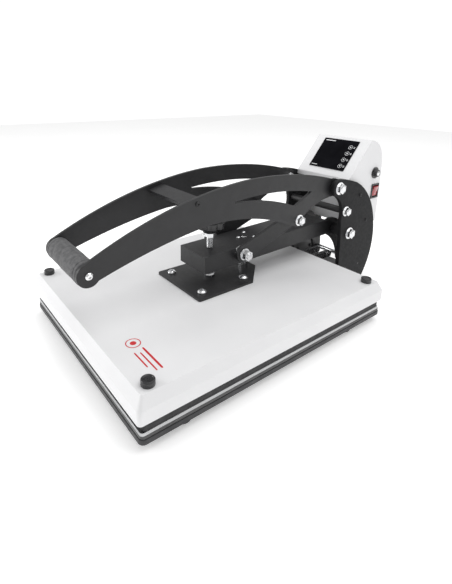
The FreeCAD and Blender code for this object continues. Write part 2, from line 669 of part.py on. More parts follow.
def make_handle():
    for name, side in SIDES:
        plate = cheek(f"handle_plate_{name}", "$handle_thick", "$handle_inner", side, draw_handle_plate)
        node(plate, f"handle_plate_{name}")
    brace = box("-$handle_inner", 0, 0, "2 * $handle_inner", 29, 6)
    brace.Placement = FreeCAD.Placement(V(), FreeCAD.Rotation(V(1, 0, 0), 14))
    place(brace, "-$handle_inner", -70 - 14.5, 250.5 - 6.2)
    node(cut(brace, rod("+x", 2.02, 150, -75, -70, 250.5)), "handle_brace")
    screws = [button_screw("+x" if side > 0 else "-x", 4, 2, 18,
                           f"{side} * ($handle_inner + $handle_thick)", -70, 250.5)
              for _, side in SIDES]
    node(group(*screws), "brace_screws")
    node(tube("+x", "$grip_radius", "$core_radius", "2 * $handle_inner - 0.2",
              "-$handle_inner + 0.1", "$grip_y", "$grip_z"), "foam_grip")
    core = rod("+x", "$core_radius", "2 * $handle_inner", "-$handle_inner", "$grip_y", "$grip_z")
    taps = [rod(way, 4, 22, f"{side} * $handle_inner", "$grip_y", "$grip_z")
            for way, side in (("-x", 1), ("+x", -1))]
    node(cut(core, *taps), "grip_core")
    bolts = [button_screw("+x" if side > 0 else "-x", 5.6, 4, 20,
                          f"{side} * ($handle_inner + $handle_thick)", "$grip_y", "$grip_z")
             for _, side in SIDES]
    node(group(*bolts), "grip_bolts")
    cranks = [pivot_bolt(side, 9, "$link_pin_radius", "$handle_inner + $handle_thick",
                         "$handle_inner + $handle_thick - $link_inner - $link_thick - $face_gap",
                         "$crank_pin_y", "$crank_pin_z")
              for _, side in SIDES]
    node(group(*cranks), "crank_bolts")
    sleeves = []
    for _, side in SIDES:
        start = ("$link_inner + $link_thick + $face_gap" if side > 0 else "-$handle_inner")
        sleeves.append(tube("+x", 11, "$link_pin_radius + 0.02",
                            "$handle_inner - $link_inner - $link_thick - $face_gap", start,
                            "$crank_pin_y", "$crank_pin_z"))
    node(group(*sleeves), "crank_sleeves")


# ---- upper platen ----------------------------------------------------------

BOLT_SPOTS = [(x, y) for x in (-47, 47) for y in (-46, 49)]
CAP_SPOTS = [(x * 184, y * 230) for x in (-1, 1) for y in (-1, 1)]


def make_cover():
    skin = dim("cover_skin")

    def form(name, shrink, low, band, slope):
        item = new_body(name)
        wide = dim("cover_width") - 2 * shrink
        long = dim("cover_length") - 2 * shrink
        inset = 2 * dim("cover_inset")
        ring = new_sketch(item, "XY_Plane")
        rounded(ring, wide, long, dim("cover_round") - shrink)
        pad(item, ring, band)
        foot = new_sketch(item, "XY_Plane")
        rounded(foot, wide, long, dim("cover_round") - shrink)
        foot.setExpression("AttachmentOffset.Base.z", cells(band))
        crown = new_sketch(item, "XY_Plane")
        rounded(crown, wide - inset, long - inset, dim("cover_top_round") - shrink)
        crown.setExpression("AttachmentOffset.Base.z", cells(f"{band} + {slope}"))
        slopes = item.newObject("PartDesign::AdditiveLoft", "Slopes")
        slopes.Profile = foot
        slopes.Sections = [crown]
        slopes.Ruled = True
        item.Tip = slopes
        return place(item, y="$cover_back", z=low)

    outside = form("top_cover", 0.0, "$cover_low", "$cover_band", "$cover_slope")
    inside = form("cover_cavity", skin, "$cover_low - 0.01", "$cover_band - 0.6", "$cover_slope - 0.99")
    ways = [rod("+z", 5.05, 30, x, y, 70) for x, y in BOLT_SPOTS]
    caps = [rod("+z", 4.05, 30, x, y, 70) for x, y in CAP_SPOTS]
    cable_way = rod("+y", 5, 20, 120, "$cover_length / 2 + $cover_back - 10", 56)
    node(cut(outside, inside, *ways, *caps, cable_way), "top_cover")
    plugs = []
    for x, y in CAP_SPOTS:
        top = "$cover_low + $cover_band + $cover_slope"
        head = fuse(rod("+z", 9.2, 7.3, x, y, top), cone("+z", 9.2, 8.2, 1, x, y, f"{top} + 7.3"))
        dish = cone("+z", 6.4, 7.4, 1.2, x, y, f"{top} + 7.2")
        plugs.append(fuse(cut(head, dish), rod("-z", 4, 12, x, y, top)))
    node(group(*plugs), "corner_caps")


def make_heater():
    plate = slab("heating_plate", dim("platen_width"), dim("platen_length"), 5,
                 "$plate_height", "$plate_low", "$platen_back")
    node(plate, "heating_plate")
    casting = slab("heater_casting", dim("platen_width") - 1, dim("platen_length") - 6, 5,
                   "$casting_height", "$plate_low + $plate_height", "$platen_back")
    node(casting, "heater_casting")
    top = "$plate_low + $plate_height + $casting_height"
    lanes = (-132, -72, 72, 132)
    pieces = [rod("+y", 5, 400, x, -200, f"{top} + 5") for x in lanes]
    links = [rod("+x", 5, length, x, y, f"{top} + 5")
             for x, y, length in ((-132, 200, 60), (-72, -200, 144), (72, 200, 60))]
    knees = [(x, y) for x in lanes for y in (-200, 200)]
    for x, y in knees:
        ball = doc.addObject("Part::Sphere", "Knee")
        bind(ball, Radius=5)
        pieces.append(place(ball, x, y, f"{top} + 5"))
    node(fuse(*pieces, *links), "heater_element")
    blanket = slab("insulation_blanket", 370, 470, 12, 11, f"{top} + 10.05")
    ways = [rod("+z", 8.5, 30, x, y, 50) for x, y in BOLT_SPOTS]
    node(cut(blanket, *ways), "insulation_blanket")
    posts = [cut(rod("+z", 7.5, f"$bracket_low - $cover_skin - ({top}) - 0.15", x, y, top),
                 rod("+z", 5.02, 20, x, y, "$bracket_low - 16")) for x, y in BOLT_SPOTS]
    node(group(*posts), "heater_posts")
    probe = fuse(box(88, -12, top, 26, 18, 4), rod("+z", 5, 6, 101, -3, top))
    node(probe, "temperature_probe")


def make_bracket():
    item = new_body("bracket_plate")
    drawing = new_sketch(item, "XY_Plane")
    outline(drawing, (-62, -65), (62, -65), ((64.8, -63.8), (66, -61)), (66, 56), (19, 107),
            (-19, 107), (-66, 56), (-66, -61), ((-64.8, -63.8), (-62, -65)))
    for x, y in BOLT_SPOTS:
        hole(drawing, x, y, 5.05)
    pad(item, drawing, "$bracket_thick")
    place(item, z="$bracket_low")
    node(item, "bracket_plate")
    top = "$bracket_low + $bracket_thick"
    heads = [button_screw("+z", 8, 5, 16, x, y, top) for x, y in BOLT_SPOTS]
    node(group(*heads), "bracket_bolts")
    guide = fuse(hexagon("+z", 9, 8, 0, "$guide_y", top), rod("+z", 6, 60, 0, "$guide_y", top))
    node(guide, "guide_pin")
    cup = cut(fuse(rod("+z", 10.5, 5, 0, "$screw_y", top),
                   cone("+z", 10.5, 8.5, 3, 0, "$screw_y", f"{top} + 5")),
              rod("+z", "$screw_radius + $running_gap", 20, 0, "$screw_y", f"{top} + 2.5"))
    node(cup, "screw_seat")
    wall = "$cover_length / 2 + $cover_back"
    gland = fuse(hexagon("+y", 9, 8, 120, wall, 56), rod("+y", 7, 16, 120, wall, 56),
                 rod("-y", 4.95, 8, 120, wall, 56))
    node(cut(gland, rod("+y", 3.5, 40, 120, f"{wall} - 12", 56)), "cover_cable_gland")


def make_pressure_screw():
    foot = "$bracket_low + $bracket_thick + 3"
    stem = rod("+z", "$screw_radius", f"$knob_low - ({foot})", 0, "$screw_y", foot)
    node(stem, "pressure_screw")
    nut = cut(hexagon("+z", 9.6, 7.5, 0, "$screw_y", "$knob_low - 9"),
              rod("+z", "$screw_radius + 0.01", 20, 0, "$screw_y", "$knob_low - 12"))
    node(nut, "lock_nut")
    wing = "$knob_low + $knob_neck"
    neck = rod("+z", 13.5, "$knob_neck", 0, "$screw_y", "$knob_low")
    star = rod("+z", "$knob_radius", "$knob_height - 5", 0, "$screw_y", wing)
    crown = cone("+z", "$knob_radius", "$knob_radius - 7", 5, 0, "$screw_y",
                 f"{wing} + $knob_height - 5")
    bites = []
    for k in range(7):
        angle = math.radians(360 / 7 * k)
        bites.append(rod("+z", 6, "$knob_height + 2", f"($knob_radius + 2) * {math.sin(angle):.5f}",
                         f"$screw_y + ($knob_radius + 2) * {math.cos(angle):.5f}", f"{wing} - 1"))
    node(cut(fuse(neck, star, crown), *bites), "pressure_knob")


make_base_frame()
make_feet()
make_lower_platen()
make_frame()
make_arm_shaft()
make_handle_pivots()
make_spring_post()
make_lift_springs()
make_control_box()
make_display()
make_switchgear()
make_electronics()
make_heater_arm()
make_pressure_block()
make_links()
make_handle()
make_cover()
make_heater()
make_bracket()
make_pressure_screw()
doc.recompute()

for item in doc.Objects:
    if "Invalid" in item.State or "Error" in item.State:
        raise RuntimeError(f"{item.Name} ({item.Label}) did not build: {item.State}")
for item in nodes:
    if item.Shape.isNull() or not item.Shape.isValid() or item.Shape.Volume < 1:
        raise RuntimeError(f"{item.Label} has no valid solid")

os.makedirs("parts", exist_ok=True)
for item in nodes:
    item.Shape.exportStep(f"parts/{item.Label}.step")
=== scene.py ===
"""A clamshell heat press for vinyl graphics, finished for a soft white studio."""

import json
import math

import bpy
import numpy as np
from mathutils import Matrix, Vector


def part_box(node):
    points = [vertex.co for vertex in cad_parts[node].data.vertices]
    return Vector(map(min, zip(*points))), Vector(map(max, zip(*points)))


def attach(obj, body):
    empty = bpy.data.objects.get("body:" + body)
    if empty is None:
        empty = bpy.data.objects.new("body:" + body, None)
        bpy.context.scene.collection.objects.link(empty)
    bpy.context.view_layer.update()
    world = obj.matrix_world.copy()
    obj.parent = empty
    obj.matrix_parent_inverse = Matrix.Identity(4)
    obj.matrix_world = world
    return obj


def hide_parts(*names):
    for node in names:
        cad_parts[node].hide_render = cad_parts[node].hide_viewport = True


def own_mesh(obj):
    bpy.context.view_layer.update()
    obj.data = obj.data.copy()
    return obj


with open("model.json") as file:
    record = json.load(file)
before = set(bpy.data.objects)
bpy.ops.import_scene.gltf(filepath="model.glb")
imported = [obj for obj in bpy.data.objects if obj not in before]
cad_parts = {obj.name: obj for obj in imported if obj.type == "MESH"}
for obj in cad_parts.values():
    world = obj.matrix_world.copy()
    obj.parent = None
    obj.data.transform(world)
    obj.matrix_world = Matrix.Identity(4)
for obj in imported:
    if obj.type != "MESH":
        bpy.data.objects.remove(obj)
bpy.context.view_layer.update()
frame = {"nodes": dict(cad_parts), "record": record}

MM = 0.001
PLATEN_Y = -93 * MM
TURN = 2 * math.pi
POINT = 0.02 * MM  # radius at which a turned shape closes on its axis


# ---- places taken from the frame -------------------------------------------


def middle(node):
    """Centre of a CAD node's box."""
    low, high = (np.array(corner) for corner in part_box(node))
    return (low + high) / 2


def span(node):
    """Size of a CAD node's box along X, Y and Z."""
    low, high = (np.array(corner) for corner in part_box(node))
    return high - low


# ---- surfaces --------------------------------------------------------------


def smooth_step(edge_low, edge_high, value):
    """0 below edge_low, 1 above edge_high and 3t^2 - 2t^3 between them."""
    t = np.clip((value - edge_low) / (edge_high - edge_low), 0, 1)
    return t * t * (3 - 2 * t)


def grid_faces(rows, columns, ring, offset=0):
    """Four-cornered faces of a rows x columns grid of points, joined round where ring is set."""
    across = columns if ring else columns - 1
    row = np.arange(rows - 1)[:, None]
    column = np.arange(across)[None, :]
    after = (column + 1) % columns
    corners = (row * columns + column, row * columns + after,
               (row + 1) * columns + after, (row + 1) * columns + column)
    return np.stack(corners, axis=-1).reshape(-1, 4) + offset


def add_piece(name, points, faces, finish, body):
    """A smooth mesh object of the given points and faces that rides on a body.
    """
    mesh = bpy.data.meshes.new(name)
    mesh.from_pydata(points.tolist(), [], faces.tolist())
    mesh.polygons.foreach_set("use_smooth", np.ones(len(mesh.polygons), dtype=bool))
    mesh.materials.append(finish)
    piece = bpy.data.objects.new(name, mesh)
    bpy.context.scene.collection.objects.link(piece)
    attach(piece, body)
    return piece


def turned(along, radius, centre, axis, steps=96):
    """Points of a profile turned about an axis: at each distance along it a circle of that radius.

    radius is one number per distance, or an array with one column per angle.
    """
    angle = np.linspace(0, TURN, steps, endpoint=False)
    radius = np.broadcast_to(np.asarray(radius).reshape(len(along), -1), (len(along), steps))
    first, second = {"x": (1, 2), "y": (2, 0), "z": (0, 1)}[axis]
    points = np.empty((len(along), steps, 3))
    points[..., "xyz".index(axis)] = centre["xyz".index(axis)] + along[:, None]
    points[..., first] = centre[first] + radius * np.cos(angle)
    points[..., second] = centre[second] + radius * np.sin(angle)
    return points.reshape(-1, 3)


def swept(path, radius, steps):
    """Points of a round wire: at each point of the path a circle square to the path's direction."""
    ahead = np.gradient(path, axis=0)
    ahead /= np.linalg.norm(ahead, axis=1, keepdims=True)
    side = np.cross(ahead, np.array([0.31, 0.11, 0.94]))
    side /= np.linalg.norm(side, axis=1, keepdims=True)
    over = np.cross(ahead, side)
    angle = np.linspace(0, TURN, steps, endpoint=False)
    ring = side[:, None] * np.cos(angle)[:, None] + over[:, None] * np.sin(angle)[:, None]
    return (path[:, None] + radius[:, None, None] * ring).reshape(-1, 3)


# ---- finishes --------------------------------------------------------------


class Finish:
    """A Principled material whose detail comes from noise in the piece's own coordinates."""

    def __init__(self, name, colour, rough, metal=0.0, **sockets):
        self.material = bpy.data.materials.new(name)
        self.material.use_nodes = True
        self.nodes = self.material.node_tree.nodes
        self.links = self.material.node_tree.links
        self.shader = self.nodes["Principled BSDF"]
        self.shader.inputs["Base Color"].default_value = (*colour, 1)
        self.shader.inputs["Roughness"].default_value = rough
        self.shader.inputs["Metallic"].default_value = metal
        for socket, value in sockets.items():
            self.shader.inputs[socket.replace("_", " ")].default_value = value
        self.place = self.nodes.new("ShaderNodeTexCoord").outputs["Object"]
        self.height = None

    def stretched(self, scale):
        """The piece's coordinates multiplied along X, Y and Z."""
        node = self.nodes.new("ShaderNodeMapping")
        node.inputs["Scale"].default_value = scale
        self.links.new(self.place, node.inputs["Vector"])
        return node.outputs["Vector"]

    def noise(self, scale, detail=4.0, stretch=(1, 1, 1)):
        """Cloudy noise with that many features per metre."""
        node = self.nodes.new("ShaderNodeTexNoise")
        node.inputs["Scale"].default_value = scale
        node.inputs["Detail"].default_value = detail
        self.links.new(self.stretched(stretch), node.inputs["Vector"])
        return node.outputs["Fac"]

    def cells(self, scale):
        """Distance to the nearest of scattered points, as in foam or grains."""
        node = self.nodes.new("ShaderNodeTexVoronoi")
        node.inputs["Scale"].default_value = scale
        self.links.new(self.place, node.inputs["Vector"])
        return node.outputs["Distance"]

    def between(self, value, low, high, start=0.3, end=0.7):
        """The value spread from low to high."""
        node = self.nodes.new("ShaderNodeMapRange")
        node.inputs["From Min"].default_value = start
        node.inputs["From Max"].default_value = end
        node.inputs["To Min"].default_value = low
        node.inputs["To Max"].default_value = high
        self.links.new(value, node.inputs["Value"])
        return node.outputs["Result"]

    def colours(self, value, low, high, start=0.3, end=0.7):
        """Base colour that goes from low to high with the value."""
        node = self.nodes.new("ShaderNodeValToRGB")
        node.color_ramp.elements[0].position = start
        node.color_ramp.elements[0].color = (*low, 1)
        node.color_ramp.elements[1].position = end
        node.color_ramp.elements[1].color = (*high, 1)
        self.links.new(value, node.inputs["Fac"])
        self.links.new(node.outputs["Color"], self.shader.inputs["Base Color"])
        return self

    def gloss(self, value, low, high):
        """Roughness that goes from low to high with the value."""
        self.links.new(self.between(value, low, high), self.shader.inputs["Roughness"])
        return self

    def bumps(self, value, strength, depth):
        """Raised detail of that depth in metres, added to what is there."""
        node = self.nodes.new("ShaderNodeBump")
        node.inputs["Strength"].default_value = strength
        node.inputs["Distance"].default_value = depth
        self.links.new(value, node.inputs["Height"])
        if self.height is not None:
            self.links.new(self.height, node.inputs["Normal"])
        self.height = node.outputs["Normal"]
        self.links.new(self.height, self.shader.inputs["Normal"])
        return self


def powder_coat():
    """Fine-grained matt black powder coat with slightly shinier patches."""
    f = Finish("powder_black", (0.02, 0.02, 0.021), 0.46, Specular_IOR_Level=0.45)
    f.colours(f.noise(45, 5), (0.017, 0.017, 0.018), (0.022, 0.022, 0.0235))
    f.gloss(f.noise(180, 6), 0.4, 0.5)
    return f.bumps(f.noise(1500, 3), 0.35, 0.00012).bumps(f.cells(900), 0.12, 0.0001).material


def frame_coat_painted_shade():
    """The same coat on the frame plates, rougher and with less shine, its colour darkened as painted
    shade.
    """
    f = Finish("frame_black_painted_shade", (0.012, 0.012, 0.013), 0.62, Specular_IOR_Level=0.22)
    # Darker than the black coat elsewhere: painted shade on the frame plates.
    f.colours(f.noise(45, 5), (0.01, 0.01, 0.011), (0.014, 0.014, 0.015))
    f.gloss(f.noise(180, 6), 0.55, 0.7)
    return f.bumps(f.noise(1500, 3), 0.35, 0.00012).bumps(f.cells(900), 0.12, 0.0001).material


def white_coat():
    """Satin white powder coat with a faint orange peel."""
    f = Finish("cover_white", (0.8, 0.8, 0.81), 0.36, Coat_Weight=0.18, Coat_Roughness=0.3)
    f.colours(f.noise(9, 4), (0.775, 0.775, 0.785), (0.815, 0.815, 0.822))
    f.gloss(f.noise(45, 5), 0.3, 0.44)
    return f.bumps(f.noise(420, 2), 0.16, 0.00012).bumps(f.noise(1800, 2), 0.1, 0.00004).material


def base_paint():
    """Satin black paint, a little dusty on its flat faces."""
    f = Finish("base_black", (0.04, 0.04, 0.044), 0.45)
    f.colours(f.noise(24, 6), (0.018, 0.018, 0.02), (0.034, 0.034, 0.036))
    f.gloss(f.noise(90, 6), 0.36, 0.58)
    return f.bumps(f.noise(800, 4), 0.3, 0.00015).material


def milled_aluminium():
    """Bare plate edge with the fine lines of the cutter along it."""
    f = Finish("bare_aluminium", (0.62, 0.63, 0.64), 0.3, metal=1.0, Anisotropic=0.35)
    lines = f.noise(40, 3, stretch=(1, 1, 90))
    f.colours(lines, (0.38, 0.385, 0.39), (0.58, 0.585, 0.59))
    return f.gloss(f.noise(300, 5), 0.24, 0.42).bumps(lines, 0.25, 0.00005).material


def dark_casting():
    """Coated casting with a sandy skin."""
    f = Finish("cast_dark", (0.03, 0.03, 0.032), 0.6, metal=0.3)
    f.colours(f.noise(70, 6), (0.022, 0.022, 0.023), (0.042, 0.042, 0.044))
    return f.gloss(f.noise(240, 4), 0.5, 0.72).bumps(f.cells(700), 0.4, 0.0003).material


def sheet_silicone():
    """Grey-black silicone sheet with a dull bloom."""
    f = Finish("silicone", (0.07, 0.07, 0.07), 0.62, Sheen_Weight=0.15)
    f.colours(f.noise(30, 5), (0.05, 0.05, 0.05), (0.09, 0.09, 0.09))
    return f.gloss(f.noise(110, 4), 0.52, 0.72).bumps(f.noise(2000, 2), 0.2, 0.0001).material


def foot_rubber():
    """Moulded black rubber."""
    f = Finish("rubber_black", (0.02, 0.02, 0.02), 0.7)
    f.colours(f.noise(80, 5), (0.014, 0.014, 0.014), (0.034, 0.034, 0.033))
    return f.gloss(f.noise(200, 4), 0.6, 0.82).bumps(f.noise(900, 3), 0.3, 0.0002).material


def grip_foam():
    """Closed-cell foam: grey mottling over a skin of small pits."""
    f = Finish("foam", (0.085, 0.085, 0.088), 0.85, Sheen_Weight=0.1)
    f.colours(f.noise(170, 8), (0.06, 0.06, 0.062), (0.115, 0.115, 0.118), 0.34, 0.66)
    f.gloss(f.noise(150, 4), 0.72, 0.92)
    return f.bumps(f.cells(620), 0.35, 0.0004).bumps(f.noise(1700, 3), 0.25, 0.0002).material


def bright_zinc():
    """Bright zinc plate with faint clouds and fine handling marks."""
    f = Finish("zinc_steel", (0.77, 0.78, 0.79), 0.2, metal=1.0)
    f.colours(f.noise(130, 5), (0.66, 0.67, 0.69), (0.86, 0.86, 0.86))
    f.gloss(f.noise(260, 6), 0.12, 0.3)
    return f.bumps(f.noise(700, 5, stretch=(1, 1, 6)), 0.12, 0.00006).material


def turned_steel():
    """Turned steel with fine tool rings."""
    f = Finish("plain_steel", (0.5, 0.5, 0.51), 0.32, metal=1.0)
    f.colours(f.noise(90, 5), (0.42, 0.42, 0.43), (0.6, 0.6, 0.61))
    f.gloss(f.noise(300, 5), 0.24, 0.42)
    return f.bumps(f.noise(120, 2, stretch=(18, 1, 1)), 0.15, 0.00006).material


def oiled_spring():
    """Oiled spring wire with drawn streaks."""
    f = Finish("spring_steel", (0.1, 0.1, 0.105), 0.2, metal=1.0)
    f.colours(f.noise(160, 5), (0.06, 0.06, 0.062), (0.16, 0.16, 0.165))
    return f.gloss(f.noise(420, 4), 0.16, 0.34).bumps(f.noise(1500, 3), 0.15, 0.00004).material


def moulded_plastic():
    """Black moulded plastic with a soft spark-eroded grain."""
    f = Finish("black_plastic", (0.018, 0.018, 0.019), 0.28, Specular_IOR_Level=0.55)
    f.colours(f.noise(50, 4), (0.014, 0.014, 0.015), (0.026, 0.026, 0.028))
    return f.gloss(f.noise(230, 4), 0.2, 0.36).bumps(f.noise(1200, 3), 0.14, 0.00008).material


def rocker_red_painted_glow():
    """Translucent red plastic that lets some light through, with a faint even painted glow from its
    emission.
    """
    f = Finish("red_plastic", (0.32, 0.004, 0.012), 0.16, Transmission_Weight=0.12,
               Coat_Weight=0.4, Emission_Strength=0.03)
    # Emission: a painted glow standing in for light shining through the plastic.
    f.shader.inputs["Emission Color"].default_value = (0.75, 0.015, 0.03, 1)
    f.colours(f.noise(150, 3), (0.26, 0.003, 0.008), (0.42, 0.008, 0.016))
    return f.gloss(f.noise(260, 3), 0.1, 0.22).bumps(f.noise(900, 2), 0.08, 0.00004).material


def panel_glass():
    """Black printed glass with the faintest of finger marks."""
    f = Finish("display_glass", (0.003, 0.003, 0.004), 0.06, Specular_IOR_Level=0.05)
    f.colours(f.noise(40, 3), (0.002, 0.002, 0.003), (0.006, 0.006, 0.008))
    return f.gloss(f.noise(70, 6), 0.03, 0.14).bumps(f.noise(25, 2), 0.04, 0.00005).material


def board_laminate():
    """Green solder mask over a woven laminate."""
    f = Finish("circuit_green", (0.03, 0.2, 0.08), 0.35, Coat_Weight=0.3)
    f.colours(f.noise(500, 3), (0.02, 0.15, 0.06), (0.04, 0.26, 0.11))
    return f.gloss(f.noise(300, 3), 0.25, 0.45).bumps(f.noise(1500, 2), 0.2, 0.00005).material


def glass_wool():
    """Matted glass-fibre blanket."""
    f = Finish("blanket_wool", (0.8, 0.77, 0.7), 0.95, Sheen_Weight=0.4)
    f.colours(f.noise(160, 7), (0.66, 0.63, 0.55), (0.9, 0.88, 0.82))
    return f.gloss(f.noise(90, 4), 0.85, 1.0).bumps(f.noise(350, 8), 0.8, 0.002).material


def heater_sheath():
    """Heating rod, tinted by its own heat."""
    f = Finish("heater_metal", (0.3, 0.28, 0.26), 0.4, metal=1.0)
    f.colours(f.noise(35, 4), (0.24, 0.2, 0.17), (0.4, 0.38, 0.36))
    return f.gloss(f.noise(300, 4), 0.3, 0.55).bumps(f.noise(900, 3), 0.2, 0.0001).material


def print_white():
    """Thin screen-printed white ink."""
    f = Finish("print_white", (0.78, 0.79, 0.8), 0.4)
    f.colours(f.noise(900, 3), (0.66, 0.67, 0.68), (0.86, 0.86, 0.87))
    return f.gloss(f.noise(500, 3), 0.32, 0.5).bumps(f.noise(2600, 2), 0.1, 0.00003).material


def print_red():
    """Red ink on the white coat."""
    f = Finish("print_red", (0.6, 0.02, 0.025), 0.38)
    f.colours(f.noise(400, 3), (0.52, 0.014, 0.02), (0.68, 0.03, 0.035))
    return f.gloss(f.noise(300, 3), 0.3, 0.46).bumps(f.noise(1500, 2), 0.1, 0.00003).material


finishes = {
    "powder_black": powder_coat(),
    "cover_white": white_coat(),
    "base_black": base_paint(),
    "bare_aluminium": milled_aluminium(),
    "cast_dark": dark_casting(),
    "silicone": sheet_silicone(),
    "rubber_black": foot_rubber(),
    "foam": grip_foam(),
    "zinc_steel": bright_zinc(),
    "plain_steel": turned_steel(),
    "spring_steel": oiled_spring(),
    "black_plastic": moulded_plastic(),
    "red_plastic": rocker_red_painted_glow(),
    "display_glass": panel_glass(),
    "circuit_green": board_laminate(),
    "blanket_wool": glass_wool(),
    "heater_metal": heater_sheath(),
}


# ---- the frame's own pieces ------------------------------------------------

# How far the sharp edges of each finish are broken, in millimetres.
EDGES = {
    "powder_black": 0.7, "cover_white": 0.9, "base_black": 0.8, "bare_aluminium": 0.3,
    "cast_dark": 0.6, "silicone": 0.8, "rubber_black": 0.8, "zinc_steel": 0.45,
    "plain_steel": 0.3, "black_plastic": 0.5, "red_plastic": 0.6, "display_glass": 0.4,
}


def break_edges(piece, width):
    """Close the mesh and round its sharp edges by the given width."""
    weld = piece.modifiers.new("joined", "WELD")
    weld.merge_threshold = 0.000004
    flats = piece.modifiers.new("whole faces", "DECIMATE")
    flats.decimate_type = "DISSOLVE"
    flats.angle_limit = math.radians(0.4)
    bevel = piece.modifiers.new("broken edges", "BEVEL")
    bevel.width = width * MM
    bevel.segments = 2
    bevel.limit_method = "ANGLE"
    bevel.angle_limit = math.radians(38)
    bevel.harden_normals = True
    bevel.use_clamp_overlap = True


def dress_frame():
    """Give every CAD node its finish and its broken edges."""
    # The frame plates take a darker copy of the black coat, as painted shade.
    shaded_frame = frame_coat_painted_shade()
    for part in frame["record"]["subparts"]:
        piece = frame["nodes"][part["node"]]
        slot = part["material_slot"]
        piece.data.materials.clear()
        piece.data.materials.append(
            shaded_frame if part["node"].startswith("frame_plate") else finishes[slot])
        if slot in EDGES:
            break_edges(piece, EDGES[slot])


dress_frame()


# ---- grip ------------------------------------------------------------------


GRIP_RINGS = 260
GRIP_SIDES = 128
GRIP_EDGE = 3 * MM
GROOVE_PLACE = 8 * MM
GROOVE_WIDTH = 0.7 * MM
GROOVE_DEPTH = 0.9 * MM


def make_grip():
    """Foam sleeve: radius r(x) that rolls over at both ends, with a shallow groove near each
    end and a slow unevenness sin(a x + 2 angle) all along it."""
    centre = middle("foam_grip")
    half, radius = span("foam_grip")[0] / 2, span("foam_grip")[1] / 2
    along = half * np.sin(np.linspace(-math.pi / 2, math.pi / 2, GRIP_RINGS))
    angle = np.linspace(0, TURN, GRIP_SIDES, endpoint=False)
    inward = np.clip((np.abs(along) - (half - GRIP_EDGE)) / GRIP_EDGE, 0, 1)
    profile = radius - GRIP_EDGE * (1 - np.sqrt(np.clip(1 - inward ** 2, 0, 1)))
    groove = np.exp(-((np.abs(along) - (half - GROOVE_PLACE)) / GROOVE_WIDTH) ** 2)
    profile = profile - GROOVE_DEPTH * groove
    uneven = 0.16 * MM * np.sin(95 * along[:, None] + 2 * angle[None, :])
    uneven = uneven + 0.12 * MM * np.sin(240 * along[:, None] - 3 * angle[None, :] + 1)
    skin = profile[:, None] + uneven - 0.3 * MM
    inner = np.full((1, GRIP_SIDES), span("grip_core")[1] / 2 + 0.05 * MM)
    rings = np.concatenate([inner, skin, inner])
    places = np.concatenate([along[:1], along, along[-1:]])
    points = turned(places, rings, centre, "x", GRIP_SIDES)
    grip = add_piece("foam_sleeve", points, grid_faces(len(places), GRIP_SIDES, True)[:, ::-1],
                     finishes["foam"], "handle")
    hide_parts("foam_grip")


make_grip()


# ---- lift springs ----------------------------------------------------------


WIRE = 1.45 * MM
WIRE_SIDES = 10
COILS = 19
POINTS_PER_COIL = 26


def make_spring(node):
    """Extension spring: a wire along r(t) = R s(t), angle = 2 pi n t, where s rises from 0 to 1 at
    both ends, so that the coil runs out into a straight hook at the axis."""
    low, high = (np.array(corner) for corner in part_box(node))
    centre = (low + high) / 2
    coil = (high[0] - low[0]) / 2 - 1.5 * MM
    t = np.linspace(0, 1, COILS * POINTS_PER_COIL)
    rise = smooth_step(0.1, 0.15, t) * (1 - smooth_step(0.88, 0.93, t))
    angle = TURN * COILS * t
    path = np.stack([centre[0] + coil * rise * np.cos(angle),
                     low[1] + (high[1] - low[1]) * t,
                     centre[2] + coil * rise * np.sin(angle)], axis=1)
    wire = np.full(len(t), WIRE)
    wire[0] = wire[-1] = 0.05 * MM
    points = swept(path, wire, WIRE_SIDES)
    spring = add_piece(node.replace("lift", "coiled"), points, grid_faces(len(t), WIRE_SIDES, True),
                       finishes["spring_steel"], "base")
    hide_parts(node)
    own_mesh(spring)


make_spring("lift_spring_right")
make_spring("lift_spring_left")


# ---- pressure screw and knob -----------------------------------------------


THREAD_PITCH = 2 * MM
THREAD_DEPTH = 0.95 * MM
THREAD_RINGS = 420
THREAD_SIDES = 60


def make_thread():
    """Threaded stem: r(z, angle) = R - d |2 frac(z / pitch - angle / 2 pi) - 1|, flat at both ends."""
    centre = middle("pressure_screw")
    tall, radius = span("pressure_screw")[2], span("pressure_screw")[0] / 2
    z = np.linspace(-tall / 2, tall / 2, THREAD_RINGS)
    angle = np.linspace(0, TURN, THREAD_SIDES, endpoint=False)
    phase = np.mod(z[:, None] / THREAD_PITCH - angle[None, :] / TURN, 1.0)
    body = radius - POINT - THREAD_DEPTH * np.abs(2 * phase - 1)
    tip = np.full((1, THREAD_SIDES), POINT)
    points = turned(np.concatenate([z[:1], z, z[-1:]]), np.concatenate([tip, body, tip]),
                    centre, "z", THREAD_SIDES)
    stem = add_piece("threaded_stem", points, grid_faces(len(z) + 2, THREAD_SIDES, True),
                     finishes["zinc_steel"], "knob")
    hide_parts("pressure_screw")


KNOB_NECK = 8.5 * MM
KNOB_CORNER = 4 * MM
KNOB_BUTTON = 1.6 * MM  # height of the raised middle
KNOB_LOBES = 7
KNOB_BITE = 0.15
KNOB_SIDES = 168


